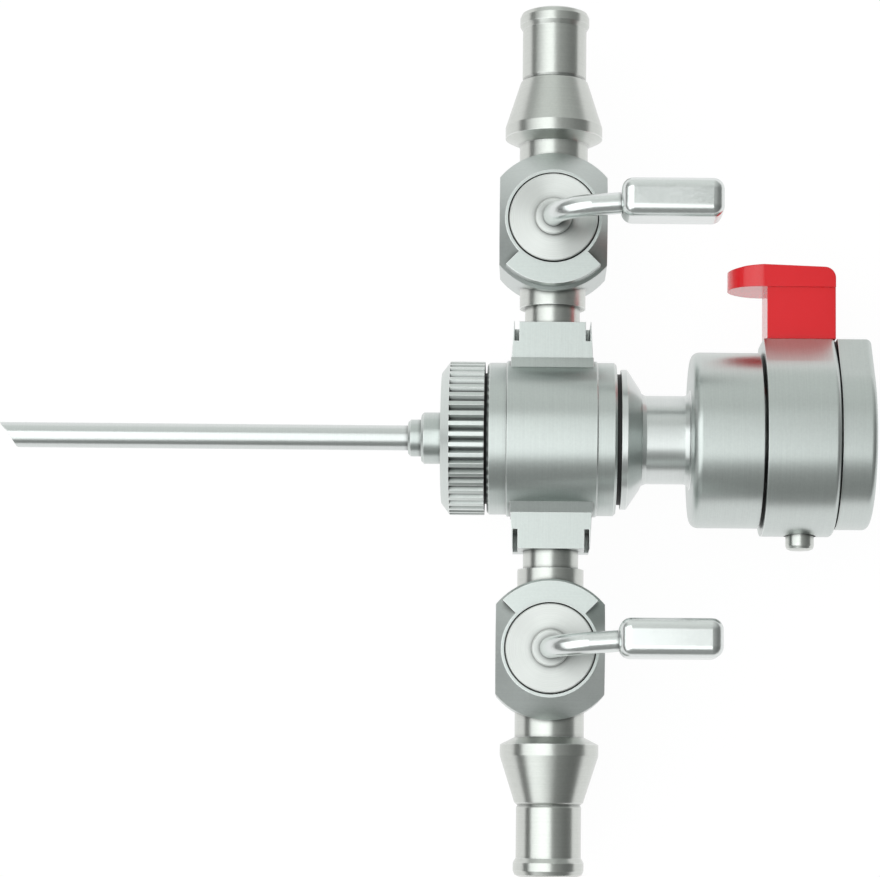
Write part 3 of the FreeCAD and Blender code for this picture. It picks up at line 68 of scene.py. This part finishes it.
# The release spring's wire and turns.
WIRE_RAD = 0.22 * MM
WIRE_SIDES = 12
SPRING_TURNS = 4
TURN_STEPS = 32

# The photograph's frame and the view it was taken from: almost straight down on the table from
# close by, with the object above the middle of the lens.
PHOTO_WIDTH = 880
PHOTO_HEIGHT = 877
MM_PER_PIXEL = 0.1516
AXIS_PIXEL = (551.5, 439.2)
CAMERA_PLACE = (-3.0, -54.0, 416.0)
CAMERA_PITCH = 5.2
CAMERA_ROLL = 0.5
CLIP_START = 0.01
CLIP_END = 10

# Noise scales per metre: along and across turning marks, and of the metal's grain.
FINE = 9000
BROAD = 130
GRAIN = 2600
MARK_DEPTH = 0.02 * MM
EDGE_RAD = 0.12 * MM
# Sockets of a mix of two colours.
MIX_SHARE, MIX_FIRST, MIX_SECOND, MIX_RESULT = 0, 6, 7, 2

FLOOR_HALF = 3.0
FLOOR_GAP = 0.2 * MM
FLOOR_COLOUR = (0.85, 0.85, 0.85, 1)
FLOOR_GLOW = 1.04
FLOOR_GLOW_SHARE = 0.92

# The studio's grey level, from front to back and from left to right, as (place, level).
STUDIO_TINT = (0.965, 1.0, 0.975, 1)
FRONT_TO_BACK = ((0.0, 0.30), (0.10, 0.34), (0.36, 0.36), (0.60, 0.50), (0.76, 0.74), (0.95, 0.86))
LEFT_TO_RIGHT = ((0.0, 0.35), (0.08, 0.45), (0.30, 1.0), (0.52, 1.0), (0.70, 0.72), (0.95, 0.45))
SOFTBOX_PLACE = (-0.295, -0.095, 0.53)
SOFTBOX_SIZE = (0.82, 0.87)
SOFTBOX_POWER = 3.0
SOFTBOX_COLOUR = (0.98, 1, 1)


def camera_setup():
    data = bpy.data.cameras.new("photo_camera")
    camera = bpy.data.objects.new("photo_camera", data)
    bpy.context.scene.collection.objects.link(camera)
    turn = (Matrix.Rotation(math.radians(CAMERA_ROLL), 4, "Z")
            @ Matrix.Rotation(math.radians(CAMERA_PITCH), 4, "X"))
    camera.matrix_world = Matrix.Translation(Vector(CAMERA_PLACE) * MM) @ turn
    # Where the object's origin lies as the camera sees it, and how large the frame is there.
    origin = turn.to_3x3().inverted() @ -Vector(CAMERA_PLACE)
    width = PHOTO_WIDTH * MM_PER_PIXEL
    axis_x = (AXIS_PIXEL[0] - PHOTO_WIDTH / 2) * MM_PER_PIXEL
    axis_y = (PHOTO_HEIGHT / 2 - AXIS_PIXEL[1]) * MM_PER_PIXEL
    data.sensor_fit = "HORIZONTAL"
    data.angle = 2 * math.atan(width / 2 / -origin.z)
    data.shift_x = (origin.x - axis_x) / width
    data.shift_y = (origin.y - axis_y) / width
    data.clip_start = CLIP_START
    data.clip_end = CLIP_END
    bpy.context.scene.camera = camera
    bpy.context.scene.view_settings.view_transform = "Standard"


class Nodes:
    """Short names for building the nodes of one material or world."""

    def __init__(self, name=None, tree_owner=None):
        self.material = tree_owner or bpy.data.materials.new(name)
        self.material.use_nodes = True
        self.tree = self.material.node_tree
        self.tree.nodes.clear()
        kind = "ShaderNodeOutputWorld" if tree_owner else "ShaderNodeOutputMaterial"
        self.output = self.tree.nodes.new(kind)

    def add(self, kind, **settings):
        node = self.tree.nodes.new(kind)
        for key, value in settings.items():
            setattr(node, key, value)
        return node

    def link(self, source, target):
        self.tree.links.new(source, target)

    def coordinates(self, scale=(1, 1, 1)):
        place = self.add("ShaderNodeTexCoord")
        mapping = self.add("ShaderNodeMapping")
        mapping.inputs["Scale"].default_value = scale
        self.link(place.outputs["Object"], mapping.inputs["Vector"])
        return mapping.outputs["Vector"]

    def noise(self, vector, scale, detail=3, roughness=0.5):
        noise = self.add("ShaderNodeTexNoise")
        noise.inputs["Scale"].default_value = scale
        noise.inputs["Detail"].default_value = detail
        noise.inputs["Roughness"].default_value = roughness
        self.link(vector, noise.inputs["Vector"])
        return noise.outputs["Fac"]

    def spread(self, value, low, high, start=0.3, end=0.7):
        node = self.add("ShaderNodeMapRange")
        node.inputs["From Min"].default_value = start
        node.inputs["From Max"].default_value = end
        node.inputs["To Min"].default_value = low
        node.inputs["To Max"].default_value = high
        self.link(value, node.inputs["Value"])
        return node.outputs["Result"]

    def colours(self, value, dark, light):
        mix = self.add("ShaderNodeMix", data_type="RGBA")
        mix.inputs[MIX_FIRST].default_value = (*dark, 1)
        mix.inputs[MIX_SECOND].default_value = (*light, 1)
        self.link(value, mix.inputs[MIX_SHARE])
        return mix.outputs[MIX_RESULT]

    def math(self, operation, *values):
        node = self.add("ShaderNodeMath", operation=operation)
        for socket, value in zip(node.inputs, values):
            if isinstance(value, (int, float)):
                socket.default_value = value
            else:
                self.link(value, socket)
        return node.outputs[0]

    def world_vector(self, vector):
        """Turns a direction in the piece's own frame into a world one, so that it turns with it."""
        turn = self.add("ShaderNodeVectorTransform", vector_type="VECTOR",
                        convert_from="OBJECT", convert_to="WORLD")
        if isinstance(vector, tuple):
            turn.inputs[0].default_value = vector
        else:
            self.link(vector, turn.inputs[0])
        return turn.outputs[0]

    def painted_crease_shade(self, colour, reach, darkest):
        """Painted shade: darkens a colour in tight inner corners and narrow gaps, where shade falls."""
        hidden = self.add("ShaderNodeAmbientOcclusion", samples=8)
        hidden.inputs["Distance"].default_value = reach
        mix = self.add("ShaderNodeMix", data_type="RGBA", blend_type="MULTIPLY")
        mix.inputs[MIX_SHARE].default_value = 1.0
        self.link(colour, mix.inputs[MIX_FIRST])
        shade = self.spread(hidden.outputs["AO"], darkest, 1.0, 0.35, 0.95)
        self.link(shade, mix.inputs[MIX_SECOND])
        return mix.outputs[MIX_RESULT]

    def painted_edge_highlight(self, colour, reach=0.2 * MM, brightest=(0.92, 0.94, 0.93)):
        """Painted highlight: lightens a colour along outer edges, where they catch the light."""
        rounded = self.add("ShaderNodeBevel", samples=6)
        rounded.inputs["Radius"].default_value = reach
        plain = self.add("ShaderNodeNewGeometry")
        turned = self.add("ShaderNodeVectorMath", operation="DOT_PRODUCT")
        self.link(rounded.outputs["Normal"], turned.inputs[0])
        self.link(plain.outputs["Normal"], turned.inputs[1])
        mix = self.add("ShaderNodeMix", data_type="RGBA")
        share = self.spread(turned.outputs["Value"], 0.0, 0.8, 0.995, 0.93)
        self.link(share, mix.inputs[MIX_SHARE])
        self.link(colour, mix.inputs[MIX_FIRST])
        mix.inputs[MIX_SECOND].default_value = (*brightest, 1)
        return mix.outputs[MIX_RESULT]

    def bump(self, height, strength, edge_rad=0.0):
        bump = self.add("ShaderNodeBump")
        bump.inputs["Strength"].default_value = strength
        bump.inputs["Distance"].default_value = MARK_DEPTH
        self.link(height, bump.inputs["Height"])
        if edge_rad:
            bevel = self.add("ShaderNodeBevel", samples=6)
            bevel.inputs["Radius"].default_value = edge_rad
            self.link(bevel.outputs["Normal"], bump.inputs["Normal"])
        return bump.outputs["Normal"]

    def principled(self, **sockets):
        shader = self.add("ShaderNodeBsdfPrincipled")
        for key, value in sockets.items():
            socket = shader.inputs[key.replace("_", " ")]
            if isinstance(value, (int, float, tuple)):
                socket.default_value = value
            else:
                self.link(value, socket)
        self.link(shader.outputs[0], self.output.inputs[0])
        return shader


def streak_scale(axis):
    """Scale that packs the pattern tightly along one axis, as turning marks do."""
    return tuple(FINE if name == axis else BROAD for name in "XYZ")


def steel(name, axis, dark, light, rough_low, rough_high, marks, drawn=0.55,
          crease_shade=(0.7 * MM, 0.22)):
    """Stainless steel turned about the given axis: the marks spread a highlight along that axis."""
    n = Nodes(name)
    streaks = n.noise(n.coordinates(streak_scale(axis)), 1.0, 2)
    grain = n.noise(n.coordinates(), GRAIN, 3, 0.6)
    mixed = n.math("ADD", n.math("MULTIPLY", streaks, 0.5), n.math("MULTIPLY", grain, 0.5))
    colour = n.colours(n.spread(mixed, 0, 1), dark, light)
    rough = n.spread(mixed, rough_low, rough_high)
    height = n.math("ADD", streaks, n.math("MULTIPLY", grain, 0.6))
    normal = n.bump(height, marks, EDGE_RAD)
    along = n.world_vector(tuple(float(name == axis) for name in "XYZ"))
    # Painted shade in inner corners and gaps, and a painted highlight along outer edges.
    surface = n.painted_crease_shade(n.painted_edge_highlight(colour), *crease_shade)
    n.principled(Base_Color=surface, Metallic=1.0, Roughness=rough, Normal=normal,
                 Anisotropic=drawn, Tangent=along)
    return n.material


def disc_steel(name, centre_y):
    """Plug disc: fine rings turned about the valve's own axis."""
    n = Nodes(name)
    place = n.add("ShaderNodeTexCoord")
    split = n.add("ShaderNodeSeparateXYZ")
    n.link(place.outputs["Object"], split.inputs[0])
    across = n.math("SUBTRACT", split.outputs[1], centre_y)
    square = n.math("ADD", n.math("MULTIPLY", split.outputs[0], split.outputs[0]),
                    n.math("MULTIPLY", across, across))
    radius = n.math("SQRT", square)
    join = n.add("ShaderNodeCombineXYZ")
    n.link(n.math("MULTIPLY", radius, FINE), join.inputs[0])
    rings = n.noise(join.outputs[0], 1.0, 2)
    colour = n.colours(n.spread(rings, 0, 1), (0.72, 0.74, 0.72), (0.86, 0.88, 0.86))
    normal = n.bump(rings, 0.25, 0.1 * MM)
    outward = n.add("ShaderNodeCombineXYZ")
    n.link(split.outputs[0], outward.inputs[0])
    n.link(across, outward.inputs[1])
    # Painted shade in the gaps around the disc and in its inner corners.
    surface = n.painted_crease_shade(colour, 1.2 * MM, 0.10)
    n.principled(Base_Color=surface, Metallic=1.0, Roughness=0.42, Normal=normal,
                 Anisotropic=0.92, Tangent=n.world_vector(outward.outputs[0]))
    return n.material


def red_plastic():
    n = Nodes("red_plastic")
    tone = n.noise(n.coordinates(), 60, 2)
    grain = n.noise(n.coordinates(), 2500, 2)
    colour = n.colours(n.spread(tone, 0, 1), (0.82, 0.005, 0.012), (0.92, 0.008, 0.018))
    rough = n.spread(grain, 0.18, 0.26)
    normal = n.bump(grain, 0.12, 0.2 * MM)
    n.principled(Base_Color=colour, Roughness=rough, Normal=normal, Coat_Weight=0.4,
                 Coat_Roughness=0.08, Subsurface_Weight=0.15,
                 Subsurface_Radius=(0.004, 0.0006, 0.0006), Subsurface_Scale=1.0)
    return n.material


def dark_polymer(name, colour_low, colour_high, rough):
    n = Nodes(name)
    grain = n.noise(n.coordinates(), 1500, 3)
    colour = n.colours(n.spread(grain, 0, 1), colour_low, colour_high)
    normal = n.bump(grain, 0.2)
    n.principled(Base_Color=colour, Roughness=n.spread(grain, rough, rough + 0.12), Normal=normal)
    return n.material


def paint(node, material):
    """Gives a carried-over node one material."""
    target = bpy.data.objects[node]
    target.data.materials.clear()
    target.data.materials.append(material)


def paint_all():
    satin_dark, satin_light = (0.55, 0.59, 0.575), (0.62, 0.665, 0.645)
    # The last figures given to steel set the reach and darkness of its painted shade in corners and
    # gaps.
    satin_x = steel("satin_steel_x", "X", satin_dark, satin_light, 0.32, 0.37, 0.3)
    # Fluted nut: a lighter tone painted for the highlights on its ribs, and deep painted shade in its
    # grooves.
    fluted_x = steel("fluted_steel_x", "X", satin_light, (0.70, 0.74, 0.72), 0.32, 0.37, 0.3, 0.3,
                     (1.1 * MM, 0.03))
    satin_y = steel("satin_steel_y", "Y", satin_dark, satin_light, 0.34, 0.40, 0.3, 0.2,
                    (1.2 * MM, 0.12))
    satin_z = steel("satin_steel_z", "Z", satin_dark, satin_light, 0.32, 0.37, 0.3)
    bright_x = steel("bright_steel_x", "X", (0.64, 0.67, 0.66), (0.70, 0.73, 0.72), 0.29, 0.32, 0.2)
    bright_y = steel("bright_steel_y", "Y", (0.58, 0.60, 0.57), (0.66, 0.68, 0.65), 0.29, 0.32, 0.25)
    bright_z = steel("bright_steel_z", "Z", (0.70, 0.73, 0.72), (0.80, 0.83, 0.82), 0.19, 0.24, 0.15)
    wire = steel("spring_steel", "X", (0.40, 0.40, 0.40), (0.50, 0.50, 0.50), 0.25, 0.35, 0.2)
    polymer = dark_polymer("bearing_polymer", (0.010, 0.010, 0.010), (0.020, 0.020, 0.020), 0.5)
    rubber = dark_polymer("seal_rubber", (0.012, 0.012, 0.012), (0.03, 0.03, 0.03), 0.6)
    by_material = (
        (fluted_x, ("fluted_nut",)),
        (satin_x, ("tube_hub", "irrigation_drum", "lock_housing", "lock_ring",
                   "latch_plate", "rear_cap", "cap_screws", "seal_retainer")),
        (bright_x, ("sheath_tube", "core_sleeve")),
        (bright_y, ("guide_pin", "index_pin", "button_screws")),
        (polymer, ("nut_washer", "thrust_washer")),
        (rubber, ("drum_seal_front", "drum_seal_rear", "telescope_seal")),
        (red_plastic(), ("release_button",)),
    )
    for material, nodes in by_material:
        for node in nodes:
            paint(node, material)
    for name, side in SIDES:
        paint(f"spigot_{name}", bright_y)
        paint(f"hose_connector_{name}", bright_y)
        paint(f"valve_body_{name}", satin_y)
        paint(f"valve_plug_{name}", disc_steel(f"disc_steel_{name}", side * VALVE_Y))
        paint(f"stop_pin_{name}", bright_z)
        paint(f"lever_rod_{name}", bright_z)
        paint(f"lever_grip_{name}", bright_z)
        paint(f"spring_washer_{name}", wire)
        paint(f"valve_nut_{name}", satin_z)
    wound_spring(wire)


def wound_spring(material):
    """Release spring as a smooth round wire."""
    low, high = (Vector(corner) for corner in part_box("release_spring"))
    middle = (low + high) / 2
    ring_rad = (high.x - low.x) / 2 - WIRE_RAD
    rise = high.y - low.y - 2 * WIRE_RAD
    steps = SPRING_TURNS * TURN_STEPS
    slope = math.atan2(rise / SPRING_TURNS, 2 * math.pi * ring_rad)
    points, faces = [], []
    for step in range(steps + 1):
        turn = 2 * math.pi * step / TURN_STEPS
        outward = Vector((math.cos(turn), 0, math.sin(turn)))
        forward = Vector((-math.sin(turn), math.tan(slope), math.cos(turn))).normalized()
        across = outward.cross(forward)
        centre = Vector((middle.x, low.y + WIRE_RAD + rise * step / steps, middle.z))
        centre += outward * ring_rad
        for side in range(WIRE_SIDES):
            angle = 2 * math.pi * side / WIRE_SIDES
            points.append(centre + WIRE_RAD * (math.cos(angle) * outward + math.sin(angle) * across))
    for step in range(steps):
        first, second = step * WIRE_SIDES, (step + 1) * WIRE_SIDES
        for side in range(WIRE_SIDES):
            beside = (side + 1) % WIRE_SIDES
            faces.append((first + side, first + beside, second + beside, second + side))
    last = steps * WIRE_SIDES
    faces.append(tuple(reversed(range(WIRE_SIDES))))
    faces.append(tuple(last + side for side in range(WIRE_SIDES)))
    mesh = bpy.data.meshes.new("release_spring_wire")
    mesh.from_pydata(points, [], faces)
    mesh.shade_smooth()
    mesh.materials.append(material)
    spring = bpy.data.objects.new("release_spring_wire", mesh)
    bpy.context.scene.collection.objects.link(spring)
    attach(spring, "core")
    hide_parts("release_spring")
    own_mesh(spring)


def floor_material():
    """White to the camera and in reflections, with the object's shadow kept faint."""
    n = Nodes("pale_floor")
    path = n.add("ShaderNodeLightPath")
    seen = n.math("MAXIMUM", path.outputs["Is Camera Ray"], path.outputs["Is Glossy Ray"])
    seen = n.math("MAXIMUM", seen, path.outputs["Is Transmission Ray"])
    diffuse = n.add("ShaderNodeBsdfDiffuse")
    diffuse.inputs["Color"].default_value = FLOOR_COLOUR
    glow = n.add("ShaderNodeEmission")
    glow.inputs["Color"].default_value = (1, 1, 1, 1)
    glow.inputs["Strength"].default_value = FLOOR_GLOW
    mix = n.add("ShaderNodeMixShader")
    n.link(n.math("MULTIPLY", seen, FLOOR_GLOW_SHARE), mix.inputs[0])
    n.link(diffuse.outputs[0], mix.inputs[1])
    n.link(glow.outputs[0], mix.inputs[2])
    n.link(mix.outputs[0], n.output.inputs[0])
    return n.material


def make_floor():
    level = cad_box[0][2] - FLOOR_GAP
    mesh = bpy.data.meshes.new("floor")
    corners = [(x * FLOOR_HALF, y * FLOOR_HALF, level) for x, y in ((-1, -1), (1, -1), (1, 1), (-1, 1))]
    mesh.from_pydata(corners, [], [(0, 1, 2, 3)])
    floor = bpy.data.objects.new("floor", mesh)
    bpy.context.scene.collection.objects.link(floor)
    mesh.materials.append(floor_material())


def softbox():
    """Large soft lamp, up to the left and a little in front, aimed at the sheath's axis."""
    data = bpy.data.lights.new("softbox", "AREA")
    data.shape = "RECTANGLE"
    data.size, data.size_y = SOFTBOX_SIZE
    data.energy = SOFTBOX_POWER
    data.color = SOFTBOX_COLOUR
    light = bpy.data.objects.new("softbox", data)
    aim = (-Vector(SOFTBOX_PLACE)).to_track_quat("-Z", "Y")
    light.matrix_world = Matrix.Translation(SOFTBOX_PLACE) @ aim.to_matrix().to_4x4()
    bpy.context.scene.collection.objects.link(light)


def world_level(n, value, stops):
    """Plain grey level over one coordinate, from a few (place, level) stops between 0 and 1."""
    ramp = n.add("ShaderNodeValToRGB")
    ramp.color_ramp.interpolation = "EASE"
    elements = ramp.color_ramp.elements
    while len(elements) < len(stops):
        elements.new(0.5)
    for element, (place, level) in zip(elements, stops):
        element.position = place
        element.color = (level, level, level, 1)
    n.link(n.math("MULTIPLY_ADD", value, 0.5, 0.5), ramp.inputs[0])
    return ramp.outputs[0]


def studio_world():
    """Grey studio: lighter behind the object, darker in front and to the right."""
    world = bpy.data.worlds.new("studio")
    bpy.context.scene.world = world
    n = Nodes(tree_owner=world)
    place = n.add("ShaderNodeTexCoord")
    split = n.add("ShaderNodeSeparateXYZ")
    n.link(place.outputs["Generated"], split.inputs[0])
    along = world_level(n, split.outputs[1], FRONT_TO_BACK)
    across = world_level(n, split.outputs[0], LEFT_TO_RIGHT)
    level = n.math("MULTIPLY", along, across)
    background = n.add("ShaderNodeBackground")
    background.inputs["Color"].default_value = STUDIO_TINT
    n.link(level, background.inputs["Strength"])
    n.link(background.outputs[0], n.output.inputs[0])


camera_setup()
paint_all()
make_floor()
studio_world()
softbox()
